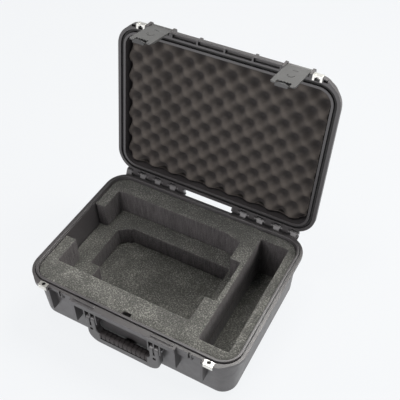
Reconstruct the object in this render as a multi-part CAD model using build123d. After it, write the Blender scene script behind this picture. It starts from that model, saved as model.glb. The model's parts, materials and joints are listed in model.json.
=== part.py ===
from build123d import *
import math
import os

os.makedirs("parts", exist_ok=True)

# Hard equipment case, standing on its feet with the lid open.
# X runs along the case, -Y is the handle side, +Y the hinge side, Z is up.
# The origin is the middle of the footprint, on the surface that the case stands on.
# The lid and everything on it is drawn closed, then swung open about the hinge.

# ---------------------------------------------------------------- driving dimensions (mm)
LENGTH = 520.0            # outside length of both rims
DEPTH = 380.0             # outside depth of both rims, without the hinge and the front ledge
CORNER_R = 52.0           # corner radius of the rims
RIM_Z = 141.0             # top face of the base rim
RIM_GAP = 0.5             # air between the two rims when the lid is shut
LID_Z = RIM_Z + RIM_GAP   # sealing face of the closed lid
BASE_RIM_THICK = 10.0
LID_RIM_THICK = 11.5
FOOT_H = 5.0              # feet below the floor of the tub
FOOT_X = (131.5, 181.5)   # the long feet under both ends
FOOT_HALF_Y = 167.0
WALL = 4.0                # floor and crown thickness of both shells

BASE_INSET_LOW = 16.6     # outer wall of the tub, in from the rim edge, at its floor
BASE_INSET_HIGH = 10.4    # the same, just under the rim
CAVITY_INSET_LOW = 20.2   # inner wall of the tub at its floor
CAVITY_INSET_HIGH = 15.0  # inner wall of the tub at the rim
EDGE_ROUND = 12.0         # rounding round the floor of the tub and the crown of the lid
CAVITY_ROUND = 8.0        # the same edge on the inside

LID_TOP_Z = 196.5         # crown of the closed lid, without its stacking ribs
LID_INSET_LOW = 15.5      # outer wall of the lid above its rim
LID_INSET_HIGH = 18.0     # the same, at the crown
LID_CAVITY_INSET = 20.0   # inner wall of the lid

RIDGE_IN, RIDGE_OUT = 13.6, 8.6          # sealing ridge on the base rim, as insets
RIDGE_TOP_Z = 145.5
SEAM_OUT = 6.6            # groove along the foot of the ridge, as an inset
SEAM_DEPTH = 3.5
CHANNEL_IN, CHANNEL_OUT = 14.6, 7.6      # gasket channel in the lid rim
CHANNEL_TOP_Z = 151.0

FRONT_Y = -DEPTH / 2
BACK_Y = DEPTH / 2

# front furniture
LEDGE_HALF = 128.0        # half length of the ledge that the handle hangs from
LEDGE_Y = -198.0          # its front edge
LEDGE_BOTTOM_Z = 127.0
RIB_Y = -196.0            # front edge of the guard ribs
INNER_RIB_X = (120.0, 128.0)             # guard rib at the end of the ledge
OUTER_RIB_X = (184.5, 190.5)             # guard rib under the padlock corner
RIB_BOTTOM_Z = 66.0
BULGE_Y = -195.0          # front edge of the padlock corners
BULGE_X0, BULGE_X1 = 188.0, 238.0        # padlock corner
BULGE_FLAT_X = 211.0
BULGE_BOTTOM_Z = 130.5
LID_POCKET_Y = (-195.6, -186.6)          # open pockets in the ledge of the lid
TONGUE_X = (69.0, 121.5)                 # raised tongues of the base ledge, which the end pockets take in
TONGUE_Y = (-192.0, -187.2)
TONGUE_TOP_Z = 144.0

# padlock hasps
PADLOCK_X, PADLOCK_Y = 202.0, -189.3
PADLOCK_R = 4.2
HASP_X = (191.5, 212.5)
HASP_BACK_Y = -184.5
HASP_T = 1.2
HASP_LEG_W = 4.5          # legs of the lid strips
RIVET_R = 1.2
RIVET_HEAD_R = 2.2
RIVET_X = (195.0, 209.0)

# hinge
HINGE_Y, HINGE_Z = 197.4, 147.0
KNUCKLE_R = 6.5
KNUCKLE_W = 20.2
KNUCKLE_PITCH = 21.4
LUG_W = 14.6              # the lug that carries each knuckle
LUG_SLOT_W = 16.0         # slot in the facing rim that the lug swings through
LUG_SLOT_Y = 185.0
RAIL_Y, RAIL_TOP_Z = 203.0, 136.0        # rail along the base, under each row of knuckles
END_LUG_X = (-235.0, -219.9)             # last bearing of the left hinge group
HINGE_PIN_R = 2.5
PIN_PLAY = 0.06           # radial running clearance of every moving pin joint
PIN_HEAD = 1.4            # height of a pin's head, and how far it stands out round the pin
LEFT_FIRST, LEFT_COUNT = 80.5, 7         # first knuckle from the middle, and how many
RIGHT_FIRST, RIGHT_COUNT = 68.7, 8
LID_OPEN_ANGLE = 99.2     # how far the lid stands open

# handle
HANDLE_PIN_Y, HANDLE_PIN_Z = -191.0, 104.0
HANDLE_PIN_R = 2.5
PRONG_X = (65.0, 79.0, 93.0)
PRONG_W = 3.0
PRONG_BOTTOM_Z = 89.0
ARM_X = (67.5, 90.5)
HANDLE_T = 18.0
HANDLE_BOTTOM_Z = 27.0
HANDLE_CORNER_R = 28.0
GRIP_TOP_Z = 65.0
LIP_TOP_Z = 45.0          # plain lip of the bar, under the grip
GRIP_HALF = 60.0
ARM_POCKET_Z = (68.0, 76.0)              # small blind pocket in the front of each arm
GRIP_RIBS, GRIP_RIB_PITCH = 10, 11.0     # grooves between the finger ribs

# latches, drawn shut and then let out to where they rest
LATCH_X = 158.0
LATCH_HALF = 25.5
LATCH_PIN_Y, LATCH_PIN_Z = -190.5, 161.0
LATCH_PIN_R = 2.0
LATCH_BARREL_R = 5.5
LATCH_FACE_Y = -194.6     # outer face of the plate, down to the bend
LATCH_END_Y = -192.2      # the same, at its free end
LATCH_BEND_Z = 131.0
LATCH_PLATE_T = 2.8
LATCH_BOTTOM_Z = 68.0
THUMB_Z = 111.0           # middle of the sunk arc on the plate
LATCH_REST_ANGLE = 3.0    # how far a free latch stands out from its shut place
EAR_X = (129.0, 187.5)    # guard ears of the lid that hold the latch pin
EAR_THICK = 5.0
EAR_R = 8.5
EAR_TOP_Z = 172.0         # where an ear runs out on the crown
CATCH_BOTTOM_Z = 121.2
CATCH_EAR_X, CATCH_EAR_Y = 3.6, -191.3   # the two small ears of the catch, from its middle
HOOK_TOP_Z = 120.6
HOOK_Y = -188.5
TRIGGER_PIN_Y, TRIGGER_PIN_Z = -189.2, 84.0
TRIGGER_PIN_R = 1.2
TRIGGER_BARREL_R = 2.2
TRIGGER_HALF = 13.5
TRIGGER_LIP_Y = -195.5    # foremost point of the bowed lip
TRIGGER_LIP_R = 30.0
TRIGGER_LIP_Z = (62.5, 66.0)
NOTCH_TOP_Z = 79.5        # notch in the free end of the latch, over the rocker

# purge valve, low on the front wall behind the grip
VALVE_Z = 38.0
VALVE_BOSS_Y = -176.2
VALVE_HOLE_R = 8.0
VALVE_FLANGE_R = 12.0

# foam inserts
FOAM_GAP = 0.6            # foam to shell
FOAM_TOP_Z = 138.8
SHELF_Z = 70.0            # floor of the wide pocket
PAD_TOP_Z = 19.0          # floor of the deep pocket and of the side slot
POCKET_X = (-216.5, 118.5)
POCKET_Y = (-120.0, 128.5)
POCKET_CHAMFER = (76.0, 119.5)           # where the far right corner is cut off
NOTCH_Y = (-51.0, 66.0)                  # finger notches at both ends of the pocket
NOTCH_RIGHT_X = 145.0
DEEP_X = (-161.0, 110.0)
DEEP_Y = (-84.0, 87.0)
DEEP_NOTCH_X = -188.0
DEEP_NOTCH_Y = (-50.0, 64.0)
SLOT_X = (157.0, 225.0)
SLOT_Y = (-150.0, 150.0)
SLOT_R = 4.0
LID_FOAM_FACE_Z = 150.0   # tips of the lid foam, lid shut

# ---------------------------------------------------------------- small helpers
YZ = Plane(origin=(0, 0, 0), x_dir=(0, 1, 0), z_dir=(1, 0, 0))   # drawing plane with Y across and Z up
XZ = Plane(origin=(0, 0, 0), x_dir=(1, 0, 0), z_dir=(0, -1, 0))  # drawing plane with X across and Z up


def block(x, y, z):
    """A box between two limits along each axis, given in any order."""
    size = [abs(b - a) for a, b in (x, y, z)]
    middle = [(a + b) / 2 for a, b in (x, y, z)]
    return Pos(*middle) * Box(*size)


def loop(inset, z):
    """The rounded outline of the case, drawn in by an inset, at a height."""
    width, height = LENGTH - 2 * inset, DEPTH - 2 * inset
    return Pos(0, 0, z) * RectangleRounded(width, height, CORNER_R - inset)


def ring(outer, inner, z0, z1):
    """A band that follows the outline between two insets."""
    return extrude(loop(outer, z0) - loop(inner, z0), z1 - z0)


def tapered(inset0, z0, inset1, z1):
    """A solid whose outline changes evenly from one inset to another."""
    return loft([loop(inset0, z0), loop(inset1, z1)], ruled=True)


def across(face, x0, x1):
    """Extrude an outline drawn in Y and Z from x0 to x1."""
    return Pos(min(x0, x1), 0, 0) * extrude(YZ * face, abs(x1 - x0), dir=(1, 0, 0))


def rod(x0, x1, y, z, radius):
    """A round bar along X."""
    return across(Pos(y, z) * Circle(radius), x0, x1)


def upright(x, y, z0, z1, radius):
    """A round bar along Z."""
    return Pos(x, y, (z0 + z1) / 2) * Cylinder(radius, z1 - z0)


def both_sides(solid):
    """The solid and its mirror image on the other side of the case."""
    return solid + mirror(solid, Plane.YZ)


def turn_about(solid, y, z, angle):
    """Turn a solid about a line along X through (y, z)."""
    return Pos(0, y, z) * Rot(angle, 0, 0) * Pos(0, -y, -z) * solid


def open_lid(solid):
    """Swing a piece of the closed lid to where the open lid stands."""
    return turn_about(solid, HINGE_Y, HINGE_Z, -LID_OPEN_ANGLE)


def let_out(solid):
    """Swing a shut latch out to its rest angle, then open it with the lid."""
    return open_lid(turn_about(solid, LATCH_PIN_Y, LATCH_PIN_Z, -LATCH_REST_ANGLE))


def on_side(solid, side):
    """Pieces are drawn for the right side; the left ones are mirror images."""
    return solid if side == "right" else mirror(solid, Plane.YZ)


def save(solid, name):
    """Write one piece to its own file."""
    pieces = solid.solids()
    shape = pieces[0] if len(pieces) == 1 else Compound(children=pieces)
    shape.label = name
    export_step(shape, f"parts/{name}.step")


def base_inset(z):
    """Inset of the inner wall of the tub at a height."""
    share = (z - FOOT_H - WALL) / (RIM_Z - FOOT_H - WALL)
    return CAVITY_INSET_LOW + share * (CAVITY_INSET_HIGH - CAVITY_INSET_LOW)


# ---------------------------------------------------------------- hinge
def knuckles(owner):
    """Middles of the knuckles that belong to the base or to the lid."""
    middles = []
    for side, first, count in ((-1, LEFT_FIRST, LEFT_COUNT), (1, RIGHT_FIRST, RIGHT_COUNT)):
        for step in range(count):
            if (step % 2 == 1) == (owner == "base"):
                middles.append(side * (first + step * KNUCKLE_PITCH))
    return middles


def knuckle_lug(middle, root):
    """A barrel on a narrower lug that grows out of a shell; root is the foot of the lug in Y and Z."""
    lug = across(lug_profile(root), middle - LUG_W / 2, middle + LUG_W / 2)
    return lug + rod(middle - KNUCKLE_W / 2, middle + KNUCKLE_W / 2, HINGE_Y, HINGE_Z, KNUCKLE_R)


def lug_profile(root):
    """The side view of a hinge lug: its foot joined to the round of the barrel."""
    barrel = Pos(HINGE_Y, HINGE_Z) * Circle(KNUCKLE_R)
    foot = Polygon(*root, align=None)
    return make_hull(barrel.edges() + foot.edges())


def lug_slots(owner, z0, z1):
    """The slots in a rim that face the lugs of the other shell; one at a corner runs out past the rim."""
    half = LUG_SLOT_W / 2
    slots = Part()
    for middle in knuckles(owner):
        run_out = math.copysign(8, middle) if abs(middle) > LENGTH / 2 - CORNER_R + half else 0
        slots += block((middle - math.copysign(half, middle), middle + math.copysign(half, middle) + run_out),
                       (LUG_SLOT_Y, BACK_Y + 5), (z0, z1))
    return slots


def hinge_ends(side):
    """Where one row of knuckles starts and ends, from the middle of the case outwards."""
    if side == "left":
        return -(LEFT_FIRST - KNUCKLE_W / 2), END_LUG_X[0]
    return RIGHT_FIRST - KNUCKLE_W / 2, RIGHT_FIRST + (RIGHT_COUNT - 1) * KNUCKLE_PITCH + KNUCKLE_W / 2


def hinge_pin(side):
    """The steel pin of one row of knuckles, with a small head at its outer end."""
    inner, outer = hinge_ends(side)
    shaft = rod(inner, outer, HINGE_Y, HINGE_Z, HINGE_PIN_R)
    head = rod(outer, outer + math.copysign(PIN_HEAD, outer), HINGE_Y, HINGE_Z, HINGE_PIN_R + PIN_HEAD)
    return shaft + head


# ---------------------------------------------------------------- shared outlines
def padlock_corner(z0, z1):
    """The corner that carries the padlock hole, running out of the rim in a soft S."""
    arc_x = BULGE_X1 - (LENGTH / 2 - CORNER_R)
    rim_y = -(DEPTH / 2 - CORNER_R) - math.sqrt(CORNER_R**2 - arc_x**2)
    along_rim = (-(rim_y + DEPTH / 2 - CORNER_R), arc_x)
    edge = Spline(
        (BULGE_FLAT_X, BULGE_Y),
        (BULGE_X1, rim_y),
        tangents=((1, 0), along_rim),
    )
    inside = Polyline(
        (BULGE_X1, rim_y),
        (BULGE_X1, rim_y + 8),
        (BULGE_X0, FRONT_Y + 12),
        (BULGE_X0, BULGE_Y),
        (BULGE_FLAT_X, BULGE_Y),
    )
    face = make_face([edge] + inside.edges())
    return Pos(0, 0, z0) * extrude(face, z1 - z0, dir=(0, 0, 1))


def c_clip(z_low, z_high):
    """A folded strip round a padlock corner, seen from its end."""
    front = BULGE_Y - 0.1
    outline = [
        (HASP_BACK_Y, z_low), (front - HASP_T, z_low), (front - HASP_T, z_high), (HASP_BACK_Y, z_high),
        (HASP_BACK_Y, z_high - HASP_T), (front, z_high - HASP_T), (front, z_low + HASP_T),
        (HASP_BACK_Y, z_low + HASP_T),
    ]
    clip = across(Polygon(*outline, align=None), *HASP_X)
    hole = upright(PADLOCK_X, PADLOCK_Y, z_low - 1, z_high + 1, PADLOCK_R)
    for x in RIVET_X:
        hole += Pos(x, front, (z_low + z_high) / 2) * Rot(90, 0, 0) * Cylinder(RIVET_R, 6)
    return clip - hole


def lid_clip_cut():
    """What is cut from the lower leaf of a lid strip, leaving two legs beside the padlock hole."""
    x = (HASP_X[0] + HASP_LEG_W, HASP_X[1] - HASP_LEG_W)
    return block(x, (PADLOCK_Y - 1.5, HASP_BACK_Y + 1), (LID_Z - 1, LID_Z + HASP_T + 0.5))


def rivets(z_mid):
    """The two rivets that hold a hasp strip to its corner."""
    front = BULGE_Y - 0.1 - HASP_T
    pair = Part()
    for x in RIVET_X:
        shank = Pos(x, front + 3, z_mid) * Rot(90, 0, 0) * Cylinder(RIVET_R, 6)
        head = Pos(x, front - 0.4, z_mid) * Rot(90, 0, 0) * Cylinder(RIVET_HEAD_R, 0.8)
        pair += shank + fillet(head.edges().sort_by(Axis.Y)[0], 0.6)
    return pair


def hasp_seat(z0, z1):
    """The shallow step in a rim that a leaf of the steel strip lies in."""
    return block((HASP_X[0] - 0.3, HASP_X[1] + 0.3), (BULGE_Y - 5, HASP_BACK_Y + 0.3), (z0, z1))


def padlock_clearance(z0, z1):
    """The square hole in a shell behind the round hole of the steel strip."""
    half = PADLOCK_R + 0.6
    return block((PADLOCK_X - half, PADLOCK_X + half), (PADLOCK_Y - half, PADLOCK_Y + half), (z0, z1))


# ---------------------------------------------------------------- base shell
def base_shell():
    """The lower shell: tub, rim, ridge, ledge, tongues, guard ribs, prongs, catches, knuckles and feet."""
    tub = tapered(BASE_INSET_LOW, FOOT_H, BASE_INSET_HIGH, RIM_Z - 2)
    tub = fillet(tub.faces().sort_by(Axis.Z)[0].edges(), EDGE_ROUND)
    rim = extrude(loop(0, RIM_Z - BASE_RIM_THICK), BASE_RIM_THICK)
    rim = fillet(rim.faces().sort_by(Axis.Z)[0].edges(), 2.5)
    rim = fillet(rim.faces().sort_by(Axis.Z)[-1].edges(), 0.8)
    shell = tub + rim

    ledge = block((-LEDGE_HALF, LEDGE_HALF), (LEDGE_Y, FRONT_Y + 14), (LEDGE_BOTTOM_Z, RIM_Z))
    front_edges = ledge.faces().sort_by(Axis.Y)[0].edges()
    shell += fillet(front_edges, 1.6)

    for x, front, top in ((INNER_RIB_X, RIB_Y, RIM_Z), (OUTER_RIB_X, BULGE_Y, BULGE_BOTTOM_Z + 2)):
        rib = block(x, (front, FRONT_Y + 18), (RIB_BOTTOM_Z, top))
        corner = rib.edges().filter_by(Axis.X).sort_by(Axis.Y)[:2].sort_by(Axis.Z)[0]
        shell += both_sides(fillet(corner, 5))
    shell += both_sides(padlock_corner(BULGE_BOTTOM_Z, RIM_Z))

    catch = block((LATCH_X - 7, LATCH_X + 7), (FRONT_Y, FRONT_Y + 14), (CATCH_BOTTOM_Z, RIM_Z - 5))
    for x in (LATCH_X - CATCH_EAR_X, LATCH_X + CATCH_EAR_X):
        catch += block((x - 1.2, x + 1.2), (CATCH_EAR_Y, FRONT_Y + 2), (CATCH_BOTTOM_Z, RIM_Z))
    panel = block((INNER_RIB_X[1] - 1, LATCH_X - 7), (FRONT_Y + 2.2, FRONT_Y + 14), (115, RIM_Z - 5))
    shell += both_sides(catch + panel)

    for x in PRONG_X:
        prong_x = (x - PRONG_W / 2, x + PRONG_W / 2)
        prong = block(prong_x, (LEDGE_Y, FRONT_Y + 16), (PRONG_BOTTOM_Z, RIM_Z - 5))
        corner = prong.edges().filter_by(Axis.X).sort_by(Axis.Y)[:2].sort_by(Axis.Z)[0]
        shell += both_sides(fillet(corner, 4))

    boss = Pos(0, VALVE_BOSS_Y + 5, VALVE_Z) * Rot(90, 0, 0) * Cylinder(VALVE_FLANGE_R + 2, 10)
    shell += boss

    lug_foot = [(BACK_Y - 12, 106), (BACK_Y, 126), (BACK_Y - 12, 124)]
    for middle in knuckles("base"):
        shell += knuckle_lug(middle, lug_foot)
    shell += across(lug_profile(lug_foot), *END_LUG_X)
    for side in ("left", "right"):
        shell += block(hinge_ends(side), (BACK_Y - 6, RAIL_Y), (RIM_Z - BASE_RIM_THICK, RAIL_TOP_Z))

    foot_top = FOOT_H + WALL - 1
    shell += both_sides(block(FOOT_X, (-FOOT_HALF_Y, FOOT_HALF_Y), (0, foot_top)))
    shell += block((-60, 60), (-45, 45), (0, foot_top))

    cavity = tapered(CAVITY_INSET_LOW, FOOT_H + WALL, CAVITY_INSET_HIGH, RIM_Z)
    shell -= fillet(cavity.faces().sort_by(Axis.Z)[0].edges(), CAVITY_ROUND)

    ridge = ring(RIDGE_OUT, RIDGE_IN, RIM_Z - 1, RIDGE_TOP_Z)
    shell += chamfer(ridge.faces().sort_by(Axis.Z)[-1].edges(), 0.9)
    shell -= ring(SEAM_OUT, RIDGE_OUT, RIM_Z - SEAM_DEPTH, RIM_Z + 1)
    shell -= lug_slots("lid", RAIL_TOP_Z, RIM_Z + 1)

    tongue = block(TONGUE_X, TONGUE_Y, (RIM_Z - 1, TONGUE_TOP_Z))
    shell += both_sides(chamfer(tongue.faces().sort_by(Axis.Z)[-1].edges(), 0.5))
    seat = hasp_seat(RIM_Z - HASP_T, RIM_Z + 1)
    shell -= both_sides(padlock_clearance(BULGE_BOTTOM_Z - 5, RIM_Z + 5) + seat)
    catch_slot = (LATCH_X - CATCH_EAR_X + 1.2, LATCH_X + CATCH_EAR_X - 1.2)
    shell -= both_sides(block(catch_slot, (FRONT_Y - 1, FRONT_Y + 2.5), (CATCH_BOTTOM_Z + 4, RIM_Z + 1)))
    for x in RIVET_X:
        shell -= both_sides(Pos(x, BULGE_Y, BASE_HASP_MID_Z) * Rot(90, 0, 0) * Cylinder(RIVET_R, 12))
    for x in (PRONG_X[0], PRONG_X[-1]):
        shell -= both_sides(rod(x - 3, x + 3, HANDLE_PIN_Y, HANDLE_PIN_Z, HANDLE_PIN_R))
    shell -= both_sides(rod(PRONG_X[1] - 3, PRONG_X[1] + 3, HANDLE_PIN_Y, HANDLE_PIN_Z, HANDLE_PIN_R))
    shell -= rod(-240, 240, HINGE_Y, HINGE_Z, HINGE_PIN_R)
    shell -= Pos(0, VALVE_BOSS_Y + 8, VALVE_Z) * Rot(90, 0, 0) * Cylinder(VALVE_HOLE_R, 30)
    return shell


BASE_HASP_LOW_Z = BULGE_BOTTOM_Z - 0.1 - HASP_T
BASE_HASP_MID_Z = (BASE_HASP_LOW_Z + RIM_Z) / 2
LID_HASP_HIGH_Z = LID_Z + LID_RIM_THICK + 0.1 + HASP_T
LID_HASP_MID_Z = (LID_Z + LID_HASP_HIGH_Z) / 2


# ---------------------------------------------------------------- lid shell, drawn closed
def lid_ear(x0, x1):
    """A guard rib of the lid that also holds one end of a latch pin."""
    foot_z, back = LID_Z + 0.5, FRONT_Y + 19
    rib = Polygon((RIB_Y, foot_z), (back, foot_z), (back, EAR_TOP_Z), (RIB_Y, LATCH_PIN_Z + 2), align=None)
    eye = Pos(LATCH_PIN_Y, LATCH_PIN_Z) * Circle(EAR_R)
    return across(make_hull(rib.edges() + eye.edges()), x0, x1)


def lid_shell():
    """The upper shell: crown, rim with its gasket channel, ledge, ears, knuckles and stacking ribs."""
    rim_top = LID_Z + LID_RIM_THICK
    crown = tapered(LID_INSET_LOW, LID_Z + 3, LID_INSET_HIGH, LID_TOP_Z)
    crown = fillet(crown.faces().sort_by(Axis.Z)[-1].edges(), EDGE_ROUND)
    rim = extrude(loop(0, LID_Z), LID_RIM_THICK)
    rim = fillet(rim.faces().sort_by(Axis.Z)[-1].edges(), 2.5)
    rim = fillet(rim.faces().sort_by(Axis.Z)[0].edges(), 0.8)
    shell = crown + rim

    ledge = block((-LEDGE_HALF + 2, LEDGE_HALF - 2), (LEDGE_Y, FRONT_Y + 17), (LID_Z, rim_top))
    shell += fillet(ledge.faces().sort_by(Axis.Y)[0].edges(), 1.6)
    shell += both_sides(padlock_corner(LID_Z, rim_top))
    for x in EAR_X:
        shell += both_sides(lid_ear(x - EAR_THICK / 2, x + EAR_THICK / 2))
    short_rib = block((62.0, 67.0), (FRONT_Y - 5, FRONT_Y + 19), (rim_top - 3, 168))
    corner = short_rib.edges().filter_by(Axis.X).sort_by(Axis.Y)[:2].sort_by(Axis.Z)[-1]
    shell += both_sides(fillet(corner, 5))

    lug_foot = [(BACK_Y - 12, LID_Z), (BACK_Y, LID_Z + 0.5), (BACK_Y, 160), (BACK_Y - 17, 182)]
    for middle in knuckles("lid"):
        shell += knuckle_lug(middle, lug_foot)

    for x in (-184, -129, 129, 184):
        rib = block((x - 2.5, x + 2.5), (-140, 140), (LID_TOP_Z - 1, LID_TOP_Z + 3))
        shell += fillet(rib.faces().sort_by(Axis.Z)[-1].edges(), 1.2)
    panel = block((-70, 70), (-45, 45), (LID_TOP_Z - 1, LID_TOP_Z + 1.5))
    panel -= block((-66, 66), (-41, 41), (LID_TOP_Z, LID_TOP_Z + 5))
    shell += panel

    cavity = tapered(LID_CAVITY_INSET, LID_Z, LID_CAVITY_INSET + 1, LID_TOP_Z - WALL)
    shell -= fillet(cavity.faces().sort_by(Axis.Z)[-1].edges(), CAVITY_ROUND)
    shell -= ring(CHANNEL_OUT, CHANNEL_IN, LID_Z - 1, CHANNEL_TOP_Z)

    pocket_edges = (2.0, 61.7, 65.7, LEDGE_HALF - 5)
    for x0, x1 in (pocket_edges[:2], pocket_edges[2:]):
        shell -= both_sides(block((x0, x1), LID_POCKET_Y, (LID_Z - 1, LID_Z + 8)))
    shell -= both_sides(block((215, 224), (FRONT_Y - 1.8, FRONT_Y + 3.6), (LID_Z - 1, LID_Z + 8)))
    seat = hasp_seat(LID_Z - 1, LID_Z + HASP_T)
    shell -= both_sides(padlock_clearance(LID_Z - 5, rim_top + 5) + seat)
    for x in RIVET_X:
        shell -= both_sides(Pos(x, BULGE_Y, LID_HASP_MID_Z) * Rot(90, 0, 0) * Cylinder(RIVET_R, 12))
    shell -= lug_slots("base", LID_Z - 1, rim_top + 1)
    shell -= across(lug_clearance(), END_LUG_X[0] - 1, END_LUG_X[1] + 0.5)
    for x in EAR_X:
        shell -= both_sides(rod(x - 4, x + 4, LATCH_PIN_Y, LATCH_PIN_Z, LATCH_PIN_R))
    shell -= rod(-240, 240, HINGE_Y, HINGE_Z, HINGE_PIN_R + PIN_PLAY)
    return shell


def lug_clearance():
    """The round of a barrel with air about it, in side view."""
    return Pos(HINGE_Y, HINGE_Z) * Circle(HINGE_Y - LUG_SLOT_Y)


def lid_gasket():
    """The rubber seal in the channel of the lid rim."""
    band = ring(CHANNEL_OUT + 0.4, CHANNEL_IN - 0.4, RIDGE_TOP_Z + 0.4, CHANNEL_TOP_Z)
    return fillet(band.faces().sort_by(Axis.Z)[0].edges(), 1.5)


# ---------------------------------------------------------------- handle
def arm_outline():
    """The carrying handle from the front: two arms joined by a bar."""
    half = ARM_X[1]
    outer = Polygon((-half, HANDLE_BOTTOM_Z), (half, HANDLE_BOTTOM_Z), (half, HANDLE_PIN_Z + 9),
                    (-half, HANDLE_PIN_Z + 9), align=None)
    outer = fillet(outer.vertices().sort_by(Axis.Y)[:2], HANDLE_CORNER_R)
    inner = Polygon((-ARM_X[0], GRIP_TOP_Z), (ARM_X[0], GRIP_TOP_Z), (ARM_X[0], 140), (-ARM_X[0], 140),
                    align=None)
    inner = fillet(inner.vertices().sort_by(Axis.Y)[:2], 11)
    return outer - inner


def handle_frame():
    """The stiff handle: forked arms, corners and the core that the grip is moulded on."""
    back = HANDLE_PIN_Y + HANDLE_T / 2
    body = Pos(0, back, 0) * extrude(XZ * arm_outline(), HANDLE_T)
    side = make_hull(
        (Pos(HANDLE_PIN_Y, HANDLE_PIN_Z) * Circle(HANDLE_T / 2)).edges()
        + (Pos(HANDLE_PIN_Y, HANDLE_BOTTOM_Z + 20) * Rectangle(HANDLE_T, 40)).edges()
    )
    body &= across(side, -120, 120)
    edges = [e for e in body.edges() if abs(abs(e.center().Y - HANDLE_PIN_Y) - HANDLE_T / 2) < 0.01]
    edges = [e for e in edges if e.center().Z < HANDLE_PIN_Z - 12]
    body = fillet(edges, 2.5)
    waist = block((-GRIP_HALF, GRIP_HALF), (-300, -100), (LIP_TOP_Z, GRIP_TOP_Z + 1))
    body = (body - waist) + grip_core()
    fork = block((PRONG_X[1] - 2.1, PRONG_X[1] + 2.1), (-300, -100), (HANDLE_PIN_Z - 20, 140))
    pocket_x = (PRONG_X[1] - 3.5, PRONG_X[1] + 3.5)
    pocket = block(pocket_x, (HANDLE_PIN_Y - HANDLE_T, HANDLE_PIN_Y - 3), ARM_POCKET_Z)
    hole = rod(ARM_X[0] - 5, ARM_X[1] + 5, HANDLE_PIN_Y, HANDLE_PIN_Z, HANDLE_PIN_R + PIN_PLAY)
    return body - both_sides(fork + pocket + hole)


def grip_core():
    """The web inside the bar that the soft sleeve is moulded on."""
    y = (HANDLE_PIN_Y - 5, HANDLE_PIN_Y + 5)
    return block((-GRIP_HALF, GRIP_HALF), y, (LIP_TOP_Z - 1, GRIP_TOP_Z - 7))


def handle_grip():
    """The soft sleeve on the bar of the handle, with finger ribs across it."""
    height = GRIP_TOP_Z - LIP_TOP_Z + 0.5
    middle_z = LIP_TOP_Z + height / 2
    section = Pos(HANDLE_PIN_Y, middle_z) * RectangleRounded(HANDLE_T + 1, height, 7)
    sleeve = across(section, -GRIP_HALF, GRIP_HALF)
    groove_face = section - Pos(HANDLE_PIN_Y, middle_z) * RectangleRounded(HANDLE_T - 1.4, height - 2.4, 6)
    for step in range(-GRIP_RIBS // 2, GRIP_RIBS // 2 + 1):
        x = step * GRIP_RIB_PITCH
        sleeve -= across(groove_face, x - 1.4, x + 1.4)
    return sleeve - grip_core()


def handle_pin():
    """One of the two pins that the handle swings on, with a head against the outer prong."""
    inner, outer = PRONG_X[0] - PRONG_W / 2, PRONG_X[-1] + PRONG_W / 2
    shaft = rod(inner, outer, HANDLE_PIN_Y, HANDLE_PIN_Z, HANDLE_PIN_R)
    return shaft + rod(outer, outer + PIN_HEAD, HANDLE_PIN_Y, HANDLE_PIN_Z, HANDLE_PIN_R + PIN_HEAD)


# ---------------------------------------------------------------- latch, drawn shut on the right side
def latch_plate():
    """The outer plate of the latch, bent slightly inwards below the rim."""
    outer = [(LATCH_FACE_Y, LATCH_PIN_Z), (LATCH_FACE_Y, LATCH_BEND_Z), (LATCH_END_Y, LATCH_BOTTOM_Z)]
    inner = [(y + LATCH_PLATE_T, z) for y, z in reversed(outer)]
    profile = Polygon(*outer, *inner, align=None)
    plate = across(profile, LATCH_X - LATCH_HALF, LATCH_X + LATCH_HALF)
    height = LATCH_PIN_Z - LATCH_BOTTOM_Z
    outline = XZ * (Pos(LATCH_X, 0) * RectangleRounded(2 * LATCH_HALF, 2 * height, 4))
    return plate & Pos(0, -150, LATCH_PIN_Z) * extrude(outline, 100)


def latch_marks():
    """A short bar and an open arc sunk into the plate as a thumb mark."""
    depth = 1.2
    bar = block((LATCH_X - 6, LATCH_X + 6), (LATCH_FACE_Y - 1, LATCH_FACE_Y + depth), (135, 137))
    arc = Circle(8.2) - Circle(6.2) - Pos(0, 8.5) * Rectangle(20, 12)
    thumb = XZ * (Pos(LATCH_X, THUMB_Z) * arc)
    slope = (LATCH_END_Y - LATCH_FACE_Y) / (LATCH_BEND_Z - LATCH_BOTTOM_Z)
    sunk_y = LATCH_FACE_Y + slope * (LATCH_BEND_Z - THUMB_Z)
    return bar + Pos(0, sunk_y + depth, 0) * extrude(thumb, 4)


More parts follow.
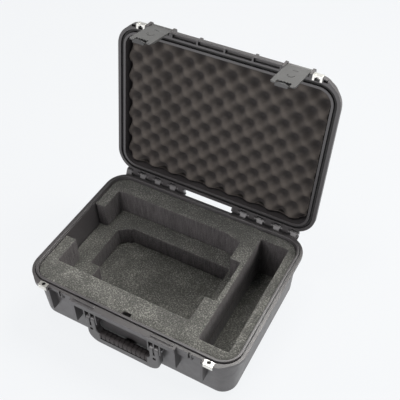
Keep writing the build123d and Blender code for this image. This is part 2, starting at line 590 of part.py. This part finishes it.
def latch_body():
    """The latch plate with its barrel, side cheeks and hook."""
    x0, x1 = LATCH_X - LATCH_HALF, LATCH_X + LATCH_HALF
    barrel = rod(x0, x1, LATCH_PIN_Y, LATCH_PIN_Z, LATCH_BARREL_R)
    cheek_side = Polygon(
        (LATCH_FACE_Y + 1, 157), (-190.8, 151), (-190.8, 128), (-189.1, 118), (-187.4, 84), (-187.4, 79),
        (LATCH_END_Y + 1, 73), (LATCH_FACE_Y + 1, LATCH_BEND_Z),
        align=None,
    )
    cheeks = across(cheek_side, x0 + 0.6, x0 + 3.6) + across(cheek_side, x1 - 3.6, x1 - 0.6)
    hook = block((LATCH_X - 6, LATCH_X + 6), (LATCH_END_Y - 0.5, HOOK_Y), (113, HOOK_TOP_Z))
    body = latch_plate() + barrel + cheeks + hook - latch_marks()
    body -= rod(x0 - 1, x1 + 1, LATCH_PIN_Y, LATCH_PIN_Z, LATCH_PIN_R + PIN_PLAY)
    body -= rod(x0 - 1, x1 + 1, TRIGGER_PIN_Y, TRIGGER_PIN_Z, TRIGGER_PIN_R)
    relief = TRIGGER_HALF + 0.4
    body -= rod(LATCH_X - relief, LATCH_X + relief, TRIGGER_PIN_Y, TRIGGER_PIN_Z, TRIGGER_BARREL_R + 0.35)
    notch = block((LATCH_X - 15, LATCH_X + 15), (-210, -180), (LATCH_BOTTOM_Z - 1, NOTCH_TOP_Z))
    for x in (-9.5, -3.5, 3.5, 9.5):
        notch -= block((LATCH_X + x - 1.2, LATCH_X + x + 1.2), (-210, -180), (NOTCH_TOP_Z - 2, NOTCH_TOP_Z))
    return body - notch


def latch_trigger():
    """The release rocker in the free end of the latch, with a bowed lip under the plate."""
    x0, x1 = LATCH_X - TRIGGER_HALF, LATCH_X + TRIGGER_HALF
    barrel = rod(x0, x1, TRIGGER_PIN_Y, TRIGGER_PIN_Z, TRIGGER_BARREL_R)
    web = block((x0, x1), (-188.4, -187.0), (TRIGGER_LIP_Z[0], 92))
    lip = block((x0, x1), (-200, -187.0), TRIGGER_LIP_Z)
    lip &= upright(LATCH_X, TRIGGER_LIP_Y + TRIGGER_LIP_R, TRIGGER_LIP_Z[0], TRIGGER_LIP_Z[1], TRIGGER_LIP_R)
    body = barrel + web + lip
    body -= rod(x0 - 1, x1 + 1, TRIGGER_PIN_Y, TRIGGER_PIN_Z, TRIGGER_PIN_R + PIN_PLAY)
    return body - block((LATCH_X - 4, LATCH_X + 4), (-200, -180), (80, 96))


def latch_pin():
    """The pin that a latch swings on, held in the two ears of the lid."""
    x0, x1 = EAR_X[0] - EAR_THICK / 2, EAR_X[1] + EAR_THICK / 2
    shaft = rod(x0, x1, LATCH_PIN_Y, LATCH_PIN_Z, LATCH_PIN_R)
    return shaft + rod(x1, x1 + PIN_HEAD, LATCH_PIN_Y, LATCH_PIN_Z, LATCH_PIN_R + PIN_HEAD)


def trigger_pin():
    """The small pin that the release rocker swings on."""
    half = LATCH_HALF - 0.6
    return rod(LATCH_X - half, LATCH_X + half, TRIGGER_PIN_Y, TRIGGER_PIN_Z, TRIGGER_PIN_R)


def trigger_spring():
    """The torsion spring that holds the release rocker shut, wound round its pin."""
    wire, coil_r, turns, pitch = 0.3, 1.8, 5, 1.1
    length = turns * pitch
    coil = Helix(pitch, length, coil_r)
    start = coil @ 0
    end_plane = Plane(origin=start, z_dir=coil % 0)
    spring = sweep(end_plane * Circle(wire), path=coil, is_frenet=True)
    spring = Rot(0, 90, 0) * spring
    return Pos(LATCH_X - length / 2, TRIGGER_PIN_Y, TRIGGER_PIN_Z) * spring


# ---------------------------------------------------------------- purge valve
def valve_piece(radius, y0, y1):
    """A disc of the valve, from y0 outwards to y1."""
    return Pos(0, (y0 + y1) / 2, VALVE_Z) * Rot(90, 0, 0) * Cylinder(radius, abs(y1 - y0))


def valve_seal():
    """The flat ring under the flange of the valve."""
    ring_y = (VALVE_BOSS_Y, VALVE_BOSS_Y - 0.8)
    return valve_piece(VALVE_FLANGE_R - 1, *ring_y) - valve_piece(VALVE_HOLE_R, *ring_y)


def valve_body():
    """The flanged plug of the valve."""
    flange = valve_piece(VALVE_FLANGE_R, VALVE_BOSS_Y - 0.8, VALVE_BOSS_Y - 2.3)
    plug = valve_piece(VALVE_HOLE_R, VALVE_BOSS_Y + 4.4, VALVE_BOSS_Y - 0.8)
    bore = valve_piece(4, VALVE_BOSS_Y + 6, VALVE_BOSS_Y + 1)
    return flange + plug - bore


def valve_cap():
    """The pierced cap over the membrane of the valve."""
    cap = valve_piece(VALVE_FLANGE_R - 3, VALVE_BOSS_Y - 2.3, VALVE_BOSS_Y - 3.6)
    for step in range(6):
        hole = Pos(0, VALVE_BOSS_Y - 3, VALVE_Z) * Rot(0, 60 * step, 0) * Pos(5.5, 0, 0) * Rot(90, 0, 0)
        cap -= hole * Cylinder(1, 4)
    return cap


# ---------------------------------------------------------------- foam
def prism(points, z0, z1):
    """A straight-sided solid over an outline in X and Y."""
    return Pos(0, 0, z0) * extrude(Polygon(*points, align=None), z1 - z0, dir=(0, 0, 1))


def side_slot(z0, z1):
    """The long slot beside the pocket."""
    size = (SLOT_X[1] - SLOT_X[0], SLOT_Y[1] - SLOT_Y[0])
    face = Pos(sum(SLOT_X) / 2, sum(SLOT_Y) / 2, z0) * RectangleRounded(*size, SLOT_R)
    return extrude(face, z1 - z0)


def foam_layer(z0, z1):
    """A slab of foam that fills the tub between two heights."""
    return tapered(base_inset(z0) + FOAM_GAP, z0, base_inset(z1) + FOAM_GAP, z1)


def foam_upper():
    """The upper foam slab, with the wide pocket, its two finger notches and the side slot."""
    slab = foam_layer(SHELF_Z, FOAM_TOP_Z)
    pocket = prism(
        [(POCKET_X[0], POCKET_Y[0]), (POCKET_X[1], POCKET_Y[0]), (POCKET_X[1], POCKET_CHAMFER[1]),
         (POCKET_CHAMFER[0], POCKET_Y[1]), (POCKET_X[0], POCKET_Y[1])],
        SHELF_Z - 1, FOAM_TOP_Z + 1,
    )
    left_notch = block((-LENGTH / 2, 0), NOTCH_Y, (SHELF_Z - 1, FOAM_TOP_Z + 1))
    right_notch = block((0, NOTCH_RIGHT_X), NOTCH_Y, (SHELF_Z - 1, FOAM_TOP_Z + 1))
    finger_cut = block((-13, 8), (-180, -165), (FOAM_TOP_Z - 14, FOAM_TOP_Z + 1))
    return slab - pocket - left_notch - right_notch - finger_cut - side_slot(SHELF_Z - 1, FOAM_TOP_Z + 1)


def foam_lower():
    """The lower foam slab, with the deep pocket and the side slot."""
    slab = foam_layer(PAD_TOP_Z, SHELF_Z)
    pocket = block(DEEP_X, DEEP_Y, (PAD_TOP_Z - 1, SHELF_Z + 1))
    cut = DEEP_NOTCH_Y[1]
    notch = prism(
        [(0, DEEP_NOTCH_Y[0]), (0, DEEP_Y[1] - 4), (DEEP_X[0] - 8, DEEP_Y[1] - 6), (DEEP_NOTCH_X, cut),
         (DEEP_NOTCH_X, DEEP_NOTCH_Y[0])],
        PAD_TOP_Z - 1, SHELF_Z + 1,
    )
    return slab - pocket - notch - side_slot(PAD_TOP_Z - 1, SHELF_Z + 1)


def foam_floor_pad():
    """The plain foam pad under the two cut slabs."""
    z0 = FOOT_H + WALL + 0.4
    return extrude(loop(CAVITY_INSET_LOW + CAVITY_ROUND - 1, z0), PAD_TOP_Z - z0)


def lid_foam():
    """The foam in the lid, as a plain slab out to the tips of its bumps."""
    top = LID_TOP_Z - WALL - 0.5
    slab = tapered(LID_CAVITY_INSET + FOAM_GAP, LID_FOAM_FACE_Z, LID_CAVITY_INSET + 1 + FOAM_GAP, top)
    return fillet(slab.faces().sort_by(Axis.Z)[-1].edges(), CAVITY_ROUND + 1)


# ---------------------------------------------------------------- write every piece
save(base_shell(), "base_shell")
save(open_lid(lid_shell()), "lid_shell")
save(open_lid(lid_gasket()), "lid_gasket")
save(open_lid(lid_foam()), "lid_foam")
save(foam_upper(), "foam_upper")
save(foam_lower(), "foam_lower")
save(foam_floor_pad(), "foam_floor_pad")
save(handle_frame(), "handle_frame")
save(handle_grip(), "handle_grip")
save(valve_seal(), "valve_seal")
save(valve_body(), "valve_body")
save(valve_cap(), "valve_cap")

for side in ("left", "right"):
    save(hinge_pin(side), f"hinge_pin_{side}")
    save(on_side(handle_pin(), side), f"handle_pin_{side}")
    save(on_side(c_clip(BASE_HASP_LOW_Z, RIM_Z), side), f"base_hasp_{side}")
    save(on_side(rivets(BASE_HASP_MID_Z), side), f"base_rivets_{side}")
    lid_clip = c_clip(LID_Z, LID_HASP_HIGH_Z) - lid_clip_cut()
    save(open_lid(on_side(lid_clip, side)), f"lid_hasp_{side}")
    save(open_lid(on_side(rivets(LID_HASP_MID_Z), side)), f"lid_rivets_{side}")
    save(open_lid(on_side(latch_pin(), side)), f"latch_pin_{side}")
    save(let_out(on_side(latch_body(), side)), f"latch_body_{side}")
    save(let_out(on_side(latch_trigger(), side)), f"latch_trigger_{side}")
    save(let_out(on_side(trigger_pin(), side)), f"trigger_pin_{side}")
    save(let_out(on_side(trigger_spring(), side)), f"trigger_spring_{side}")
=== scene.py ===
import json
import math

import bmesh
import bpy
from mathutils import Matrix, Quaternion, Vector, noise


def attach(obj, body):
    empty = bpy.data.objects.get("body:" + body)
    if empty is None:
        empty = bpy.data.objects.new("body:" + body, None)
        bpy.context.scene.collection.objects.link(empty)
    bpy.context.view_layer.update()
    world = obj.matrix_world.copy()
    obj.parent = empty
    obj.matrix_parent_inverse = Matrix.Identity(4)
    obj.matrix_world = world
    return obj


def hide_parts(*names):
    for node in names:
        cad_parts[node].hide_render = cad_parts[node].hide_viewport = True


MM = 0.001

# ---------------------------------------------------------------- camera
CAMERA_PLACE = (0.5099, -0.7757, 1.2704)
CAMERA_AZIMUTH = 28.96        # degrees; 0 looks along +Y
CAMERA_ELEVATION = 45.60      # degrees that it looks down
CAMERA_ROLL = -0.53
CAMERA_LENS = 58.72           # mm
CAMERA_SENSOR = 36.0          # mm

# ---------------------------------------------------------------- soft pieces
MERGE_DISTANCE = 0.02 * MM    # CAD points that are closer than this are one point
FOAM_VOXEL = 2.0 * MM
FOAM_WAVE = 0.55 * MM         # how far the cut foam's faces wander
FOAM_WAVES_PER_M = 22.0
FLAT_FACE = 0.6               # a face whose normal is this upright is a flat one, not a cut
SHARP_ANGLE = 40.0            # degrees
LID_FOAM_VOXEL = 2.4 * MM
BUMP_HALF_X = 26.03 * MM      # half the repeat of the lid foam's bumps, along the case
BUMP_HALF_Y = 24.4 * MM       # the same, up the lid
BUMP_PHASE_X = -9.8 * MM      # a hollow of the lid foam, in the closed lid
BUMP_PHASE_Y = -11.8 * MM
BUMP_DEPTH = 20.0 * MM
BUMP_REACH = 36.0 * MM        # how far behind the foam's face the pressing still moves it
HOLLOW_POWER = 1.2            # above 1, the hollows are narrower than the bumps
HOLLOW = "hollow"             # name of the mesh value that holds how deep the lid foam is; it also sets the painted shade of the hollows
EDGE_GAP = 3.0 * MM           # how far the lid foam's edge is drawn in from the shell
EDGE_HOLLOW_GAP = 5.0 * MM    # how much further where a hollow meets the edge
EDGE_REACH = 1.4              # above 1, the edge is drawn in evenly some way behind the face
EDGE_PRESS = 0.5              # share of the pressing that the edge is spared

# ---------------------------------------------------------------- plastic
EDGE_RADIUS = 0.5 * MM        # rounding that catches light along the moulded edges
PLASTIC_GRAIN = 1400.0        # grains of the moulded texture, per metre
PLASTIC_GRAIN_DEPTH = 0.05 * MM
PLASTIC_SPECULAR = 0.8
EDGE_WEAR_AND_HIGHLIGHT = 1.3               # how much paler the edges are painted, part rubbed wear and part painted highlight

# ---------------------------------------------------------------- studio
BACKGROUND = (0.887, 0.903, 0.921)
ROOM_LOW, ROOM_HIGH = 0.60, 0.12          # brightness of the room near the horizon and overhead
ROOM_LOW_Z, ROOM_HIGH_Z = 0.18, 0.75      # heights in the view direction where each is reached
FLOOR_HALF = 30.0
FLOOR_GLOW = 0.96

# Each square light: its place, the point it is aimed at, its side, its power in watts, its colour.
LIGHTS = {
    "key_light": ((0.45, 1.2, 2.2), (0.0, -0.2, 0.1), 1.0, 72, (1.0, 0.985, 0.95)),
    "top_light": ((-0.35, -0.1, 2.4), (0.0, 0.1, 0.2), 0.5, 15, (1.0, 0.98, 0.96)),
    "side_light": ((2.2, 0.75, 1.0), (0.0, 0.0, 0.1), 1.0, 38, (1.0, 0.98, 0.96)),
    "front_light": ((-0.5, -2.3, 0.9), (0.0, -0.2, 0.05), 1.0, 30, (1.0, 0.97, 0.98)),
}


# ---------------------------------------------------------------- node helpers
class Shader:
    """A material under construction, with short calls for the nodes that this scene uses."""

    def __init__(self, name):
        self.material = bpy.data.materials.new(name)
        self.material.use_nodes = True
        self.nodes = self.material.node_tree.nodes
        self.links = self.material.node_tree.links
        self.bsdf = self.nodes["Principled BSDF"]
        self.place = self.add("ShaderNodeTexCoord").outputs["Object"]

    def add(self, kind, **values):
        node = self.nodes.new(kind)
        for key, value in values.items():
            setattr(node, key, value)
        return node

    def join(self, source, target):
        self.links.new(source, target)

    def noise(self, scale, detail=3.0, roughness=0.55, place=None):
        node = self.add("ShaderNodeTexNoise")
        node.inputs["Scale"].default_value = scale
        node.inputs["Detail"].default_value = detail
        node.inputs["Roughness"].default_value = roughness
        self.join(place or self.place, node.inputs["Vector"])
        return node.outputs["Fac"]

    def ramp(self, source, *stops):
        node = self.add("ShaderNodeValToRGB")
        elements = node.color_ramp.elements
        while len(elements) < len(stops):
            elements.new(0.5)
        for element, (position, value) in zip(elements, stops):
            element.position = position
            colour = value if isinstance(value, tuple) else (value,) * 3
            element.color = (*colour, 1.0)
        self.join(source, node.inputs["Fac"])
        return node.outputs["Color"]

    def math(self, operation, a, b):
        node = self.add("ShaderNodeMath", operation=operation)
        for socket, value in zip(node.inputs, (a, b)):
            if isinstance(value, (int, float)):
                socket.default_value = value
            else:
                self.join(value, socket)
        return node.outputs["Value"]

    def bump(self, height, strength, distance, below=None):
        node = self.add("ShaderNodeBump")
        node.inputs["Strength"].default_value = strength
        node.inputs["Distance"].default_value = distance
        self.join(height, node.inputs["Height"])
        if below is not None:
            self.join(below, node.inputs["Normal"])
        return node.outputs["Normal"]

    def edges(self, radius):
        """A normal rounded over the edges, and a mask that is bright along them."""
        bevel = self.add("ShaderNodeBevel", samples=6)
        bevel.inputs["Radius"].default_value = radius
        flat = self.add("ShaderNodeNewGeometry").outputs["Normal"]
        dot = self.add("ShaderNodeVectorMath", operation="DOT_PRODUCT")
        self.join(bevel.outputs["Normal"], dot.inputs[0])
        self.join(flat, dot.inputs[1])
        mask = self.ramp(dot.outputs["Value"], (0.78, 1.0), (0.985, 0.0))
        return bevel.outputs["Normal"], mask

    def mix(self, factor, a, b):
        node = self.add("ShaderNodeMix", data_type="RGBA")
        self.join(factor, node.inputs["Factor"])
        self.join(a, node.inputs["A"])
        node.inputs["B"].default_value = (*b, 1.0)
        return node.outputs["Result"]

    def set(self, **values):
        for key, value in values.items():
            self.bsdf.inputs[key.replace("_", " ")].default_value = value
        return self


def shade(colour, factor):
    """A colour made lighter or darker."""
    return tuple(min(1.0, channel * factor) for channel in colour)


# ---------------------------------------------------------------- materials
def moulded_plastic(name, colour, roughness):
    """Textured injection-moulded plastic: fine grain, cloudy gloss, faint scuffs, and edges painted paler as
    rubbed wear and painted highlight.
    """
    s = Shader(name)
    rounded, edge = s.edges(EDGE_RADIUS)
    cloud = s.noise(9.0, detail=5.0)
    body = s.ramp(cloud, (0.3, shade(colour, 0.88)), (0.7, shade(colour, 1.14)))
    # the edges are painted paler: part rubbed wear, part painted highlight
    worn_and_highlit_edges = s.math("MULTIPLY", edge, s.ramp(s.noise(140.0, detail=4.0), (0.3, 0.35), (0.7, 1.0)))
    s.join(s.mix(worn_and_highlit_edges, body, shade(colour, EDGE_WEAR_AND_HIGHLIGHT)), s.bsdf.inputs["Base Color"])
    scuff = s.noise(55.0, detail=8.0, roughness=0.7)
    s.join(s.ramp(scuff, (0.35, roughness - 0.06), (0.75, roughness + 0.10)), s.bsdf.inputs["Roughness"])
    fine = s.bump(s.noise(PLASTIC_GRAIN, detail=2.0), 0.55, PLASTIC_GRAIN_DEPTH, below=rounded)
    s.join(fine, s.bsdf.inputs["Normal"])
    s.set(Specular_IOR_Level=PLASTIC_SPECULAR)
    return s.material


def foam_skin(name, dark, light):
    """The cut face of closed-cell foam seen flat on: a coarse speckle of open cells."""
    s = Shader(name)
    speckle = s.noise(330.0, detail=5.0, roughness=0.72)
    patches = s.noise(24.0, detail=3.0)
    mixed = s.math("ADD", s.math("MULTIPLY", speckle, 0.85), s.math("MULTIPLY", patches, 0.18))
    cells = s.ramp(mixed, (0.36, dark), (0.52, shade(dark, 1.9)), (0.66, light))
    s.join(cells, s.bsdf.inputs["Base Color"])
    pits = s.bump(speckle, 0.8, 0.9 * MM)
    s.join(pits, s.bsdf.inputs["Normal"])
    s.set(Roughness=0.93, Specular_IOR_Level=0.25, Sheen_Weight=0.15, Sheen_Roughness=0.6)
    return s.material


def shaded_foam_wall(name, dark, light):
    """The side of a cut in the foam: painted darker than the flat faces as shade, finely speckled, with faint
    upright drag lines.
    """
    s = Shader(name)
    stretch = s.add("ShaderNodeMapping")
    stretch.inputs["Scale"].default_value = (1.0, 1.0, 0.12)
    s.join(s.place, stretch.inputs["Vector"])
    drag = s.noise(260.0, detail=3.0, place=stretch.outputs["Vector"])
    speckle = s.noise(420.0, detail=5.0, roughness=0.7)
    mixed = s.math("ADD", s.math("MULTIPLY", drag, 0.35), s.math("MULTIPLY", speckle, 0.65))
    s.join(s.ramp(mixed, (0.38, dark), (0.64, light)), s.bsdf.inputs["Base Color"])
    s.join(s.bump(mixed, 0.6, 0.7 * MM), s.bsdf.inputs["Normal"])
    s.set(Roughness=0.92, Specular_IOR_Level=0.2, Sheen_Weight=0.08)
    return s.material


def soft_foam(name, lit_tip, shaded_pit):
    """Open-cell acoustic foam with a velvety surface: painted light on its tips, painted shade down in its
    hollows.
    """
    s = Shader(name)
    depth = s.add("ShaderNodeAttribute", attribute_name=HOLLOW).outputs["Fac"]
    grain = s.noise(1100.0, detail=3.0)
    cloud = s.noise(60.0, detail=4.0)
    uneven = s.math("ADD", s.math("MULTIPLY", grain, 0.10), s.math("MULTIPLY", cloud, 0.30))
    level = s.math("ADD", depth, s.math("SUBTRACT", uneven, 0.20))
    middle = tuple((a + b) / 2 for a, b in zip(lit_tip, shaded_pit))
    # colour by depth: painted light on the tips, painted shade in the hollows
    s.join(s.ramp(level, (0.05, lit_tip), (0.45, middle), (0.9, shaded_pit)), s.bsdf.inputs["Base Color"])
    s.join(s.bump(grain, 0.5, 0.4 * MM), s.bsdf.inputs["Normal"])
    s.set(Roughness=0.95, Specular_IOR_Level=0.15)
    return s.material


def rubber(name, colour):
    """Matt rubber with a dusty bloom."""
    s = Shader(name)
    bloom = s.noise(120.0, detail=6.0, roughness=0.65)
    dusty = s.ramp(bloom, (0.35, shade(colour, 0.8)), (0.75, shade(colour, 1.5)))
    s.join(dusty, s.bsdf.inputs["Base Color"])
    s.join(s.bump(s.noise(900.0), 0.4, 0.06 * MM), s.bsdf.inputs["Normal"])
    s.set(Roughness=0.72, Specular_IOR_Level=0.4)
    return s.material


def steel(name, colour, roughness):
    """Stainless steel with fine brushing and a few dull spots."""
    s = Shader(name)
    stretch = s.add("ShaderNodeMapping")
    stretch.inputs["Scale"].default_value = (0.06, 1.0, 1.0)
    s.join(s.place, stretch.inputs["Vector"])
    brush = s.noise(2600.0, detail=3.0, place=stretch.outputs["Vector"])
    dull = s.noise(160.0, detail=4.0)
    s.join(s.ramp(dull, (0.4, colour), (0.8, shade(colour, 0.85))), s.bsdf.inputs["Base Color"])
    s.join(s.ramp(brush, (0.3, roughness - 0.06), (0.7, roughness + 0.1)), s.bsdf.inputs["Roughness"])
    s.join(s.bump(brush, 0.15, 0.01 * MM), s.bsdf.inputs["Normal"])
    s.set(Metallic=1.0)
    return s.material


def plain_floor(name):
    """A pale studio floor that glows evenly, so the lights hardly mark it."""
    s = Shader(name)
    tint = s.noise(2.0, detail=1.0)
    glow = s.ramp(tint, (0.0, BACKGROUND), (1.0, shade(BACKGROUND, 1.004)))
    s.join(glow, s.bsdf.inputs["Emission Color"])
    s.set(Base_Color=(0.04, 0.04, 0.04, 1.0), Emission_Strength=FLOOR_GLOW)
    s.set(Roughness=1.0, Specular_IOR_Level=0.0)
    return s.material


# ---------------------------------------------------------------- mesh helpers
def copy_of(node, name):
    """A new piece with the shape of a CAD node, with doubled points merged."""
    piece = bpy.data.objects.new(name, node.data.copy())
    piece.data.materials.clear()
    bpy.context.scene.collection.objects.link(piece)
    mesh = bmesh.new()
    mesh.from_mesh(piece.data)
    bmesh.ops.remove_doubles(mesh, verts=mesh.verts, dist=MERGE_DISTANCE)
    mesh.to_mesh(piece.data)
    mesh.free()
    return piece


def apply_modifiers(piece):
    """Bake a piece's modifiers into its mesh."""
    graph = bpy.context.evaluated_depsgraph_get()
    done = bpy.data.meshes.new_from_object(piece.evaluated_get(graph))
    piece.modifiers.clear()
    piece.data = done


def remesh(piece, voxel, rounds):
    """Even quads all over a piece, with its corners softened."""
    modifier = piece.modifiers.new("even", "REMESH")
    modifier.mode = "VOXEL"
    modifier.voxel_size = voxel
    modifier.use_smooth_shade = True
    smooth = piece.modifiers.new("soft", "SMOOTH")
    smooth.factor = 0.5
    smooth.iterations = rounds
    apply_modifiers(piece)


def paint(piece, *materials):
    """Give a piece its materials, replacing what it had."""
    piece.data.materials.clear()
    for material in materials:
        piece.data.materials.append(material)


def declare(piece, node, body):
    """Hide the CAD node that a foam piece replaces, and attach the piece to the body it rides on."""
    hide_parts(node)
    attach(piece, body)


# ---------------------------------------------------------------- foam
def push_out(piece, amount):
    """Move every point of a piece along its normal, by what amount(place) gives."""
    normals = [vertex.normal.copy() for vertex in piece.data.vertices]
    for vertex, normal in zip(piece.data.vertices, normals):
        vertex.co += normal * amount(vertex.co)


def foam_layer(node_name, name, skin, shaded_wall, seed):
    """A cut foam slab, crisp but slightly wavy, with its own materials for flat faces and for cuts, the cuts
    painted darker as shade.
    """
    piece = copy_of(frame["nodes"][node_name], name)
    remesh(piece, FOAM_VOXEL, rounds=1)
    shift = Vector((seed, 0, 0))
    push_out(piece, lambda place: noise.noise(place * FOAM_WAVES_PER_M + shift) * FOAM_WAVE)
    paint(piece, skin, shaded_wall)
    for face in piece.data.polygons:
        # upright faces get the darker material, which is painted shade
        face.material_index = 0 if abs(face.normal.z) > FLAT_FACE else 1
        face.use_smooth = True
    piece.data.set_sharp_from_angle(angle=math.radians(SHARP_ANGLE))
    declare(piece, node_name, "base")


def lid_turn():
    """The turn that carries the shut lid to where it stands open."""
    hinge = next(joint for joint in frame["joints"] if joint["name"] == "lid_hinge")
    place = Matrix.Translation(Vector(hinge["pos_m"]))
    angle = math.radians(-max(hinge["range_deg"]))
    return place @ Matrix.Rotation(angle, 4, "X") @ place.inverted()


def hollow(x, y):
    """How deep the lid foam is at a place of the shut lid: 0 on a bump, 1 in a hollow."""
    across = math.cos(math.pi * (x - BUMP_PHASE_X) / BUMP_HALF_X)
    along = math.cos(math.pi * (y - BUMP_PHASE_Y) / BUMP_HALF_Y)
    return (0.5 * (1.0 + across * along)) ** HOLLOW_POWER


def lid_foam_piece(material):
    """The convoluted lining of the lid, pressed out of the plain slab."""
    piece = copy_of(frame["nodes"]["lid_foam"], "lid_foam_lining")
    turn = lid_turn()
    piece.data.transform(turn.inverted())
    remesh(piece, LID_FOAM_VOXEL, rounds=2)
    face_z = min(vertex.co.z for vertex in piece.data.vertices)
    normals = [vertex.normal.copy() for vertex in piece.data.vertices]
    depths = piece.data.attributes.new(HOLLOW, "FLOAT", "POINT")
    for vertex, normal, kept in zip(piece.data.vertices, normals, depths.data):
        x, y, z = vertex.co
        share = max(0.0, 1.0 - (z - face_z) / BUMP_REACH)
        depth = hollow(x, y)
        kept.value = depth
        side = Vector((normal.x, normal.y, 0))
        vertex.co -= side * (EDGE_GAP + EDGE_HOLLOW_GAP * depth) * min(1.0, EDGE_REACH * share)
        vertex.co.z += BUMP_DEPTH * depth * share * (1.0 - EDGE_PRESS * side.length)
    paint(piece, material)
    for face in piece.data.polygons:
        face.use_smooth = True
    piece.data.transform(turn)
    declare(piece, "lid_foam", "lid")


# ---------------------------------------------------------------- scene
def camera():
    """The camera, which sees the case in three-quarter view from above."""
    data = bpy.data.cameras.new("view_camera")
    data.lens = CAMERA_LENS
    data.sensor_width = CAMERA_SENSOR
    camera_object = bpy.data.objects.new("view_camera", data)
    azimuth, elevation = math.radians(CAMERA_AZIMUTH), math.radians(CAMERA_ELEVATION)
    level = math.cos(elevation)
    forward = Vector((-math.sin(azimuth) * level, math.cos(azimuth) * level, -math.sin(elevation)))
    turn = forward.to_track_quat("-Z", "Y") @ Quaternion((0, 0, 1), math.radians(CAMERA_ROLL))
    camera_object.rotation_euler = turn.to_euler()
    camera_object.location = CAMERA_PLACE
    bpy.context.scene.collection.objects.link(camera_object)
    bpy.context.scene.camera = camera_object


def softbox(name, place, aim, size, power, colour):
    """A square soft light aimed at a point."""
    data = bpy.data.lights.new(name, "AREA")
    data.size = size
    data.energy = power
    data.color = colour
    light = bpy.data.objects.new(name, data)
    light.location = place
    light.rotation_euler = (Vector(aim) - Vector(place)).to_track_quat("-Z", "Y").to_euler()
    bpy.context.scene.collection.objects.link(light)


def surround():
    """A pale room, brightest near the horizon and dimmer overhead."""
    world = bpy.data.worlds.new("surround")
    world.use_nodes = True
    nodes, links = world.node_tree.nodes, world.node_tree.links
    place = nodes.new("ShaderNodeTexCoord")
    height = nodes.new("ShaderNodeSeparateXYZ")
    ramp = nodes.new("ShaderNodeValToRGB")
    links.new(place.outputs["Generated"], height.inputs["Vector"])
    links.new(height.outputs["Z"], ramp.inputs["Fac"])
    low, high = ramp.color_ramp.elements
    low.position, low.color = ROOM_LOW_Z, (*shade(BACKGROUND, ROOM_LOW), 1.0)
    high.position, high.color = ROOM_HIGH_Z, (*shade(BACKGROUND, ROOM_HIGH), 1.0)
    links.new(ramp.outputs["Color"], nodes["Background"].inputs["Color"])
    bpy.context.scene.world = world


def studio():
    """Pale floor, pale surround and four soft lights."""
    surround()
    bpy.context.scene.view_settings.view_transform = "Standard"
    for name, light in LIGHTS.items():
        softbox(name, *light)

    mesh = bpy.data.meshes.new("floor")
    corners = [(-1, -1), (1, -1), (1, 1), (-1, 1)]
    mesh.from_pydata([(x * FLOOR_HALF, y * FLOOR_HALF, 0) for x, y in corners], [], [(0, 1, 2, 3)])
    floor = bpy.data.objects.new("floor", mesh)
    bpy.context.scene.collection.objects.link(floor)
    paint(floor, plain_floor("floor_paint"))


# ---------------------------------------------------------------- build
camera()
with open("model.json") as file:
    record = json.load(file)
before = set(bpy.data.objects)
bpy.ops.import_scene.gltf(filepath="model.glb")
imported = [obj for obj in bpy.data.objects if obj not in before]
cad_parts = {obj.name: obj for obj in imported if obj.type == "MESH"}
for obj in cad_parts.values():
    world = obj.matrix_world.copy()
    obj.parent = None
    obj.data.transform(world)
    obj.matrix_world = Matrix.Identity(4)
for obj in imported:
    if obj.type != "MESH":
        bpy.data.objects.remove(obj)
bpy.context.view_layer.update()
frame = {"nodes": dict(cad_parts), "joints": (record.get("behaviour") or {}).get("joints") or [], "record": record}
studio()

finishes = {
    "shell": moulded_plastic("charcoal_shell", (0.046, 0.0425, 0.044), 0.42),
    "seal": rubber("seal_rubber", (0.02, 0.02, 0.02)),
    "handle": moulded_plastic("handle_plastic", (0.046, 0.043, 0.044), 0.40),
    "grip": rubber("grip_rubber", (0.034, 0.029, 0.029)),
    "latch": moulded_plastic("latch_plastic", (0.055, 0.055, 0.054), 0.44),
    # the trigger is near black, darker than the latch, as painted shadow under the latch
    "trigger": moulded_plastic("trigger_plastic_shadow_dark", (0.014, 0.014, 0.014), 0.38),
    "pin_steel": steel("pin_steel", (0.45, 0.45, 0.46), 0.32),
    "hasp_steel": steel("hasp_steel", (0.84, 0.83, 0.79), 0.34),
}
slots = {row["node"]: row["material_slot"] for row in frame["record"]["subparts"]}
for node_name, node in frame["nodes"].items():
    if slots[node_name] in finishes:
        paint(node, finishes[slots[node_name]])

skin = foam_skin("foam_cut_face", (0.034, 0.034, 0.031), (0.235, 0.232, 0.212))
# the cut sides: finely speckled, and painted darker than the flat faces as shade
shaded_wall = shaded_foam_wall("foam_cut_side_shaded", (0.040, 0.036, 0.037), (0.125, 0.117, 0.118))
foam_layer("foam_upper", "foam_insert_upper", skin, shaded_wall, 3.0)
foam_layer("foam_lower", "foam_insert_lower", skin, shaded_wall, 11.0)
foam_layer("foam_floor_pad", "foam_insert_floor", skin, shaded_wall, 19.0)
# tip colour and hollow colour: painted light and painted shade
lid_foam_piece(soft_foam("acoustic_foam_shaded_hollows", (0.098, 0.086, 0.077), (0.046, 0.042, 0.041)))
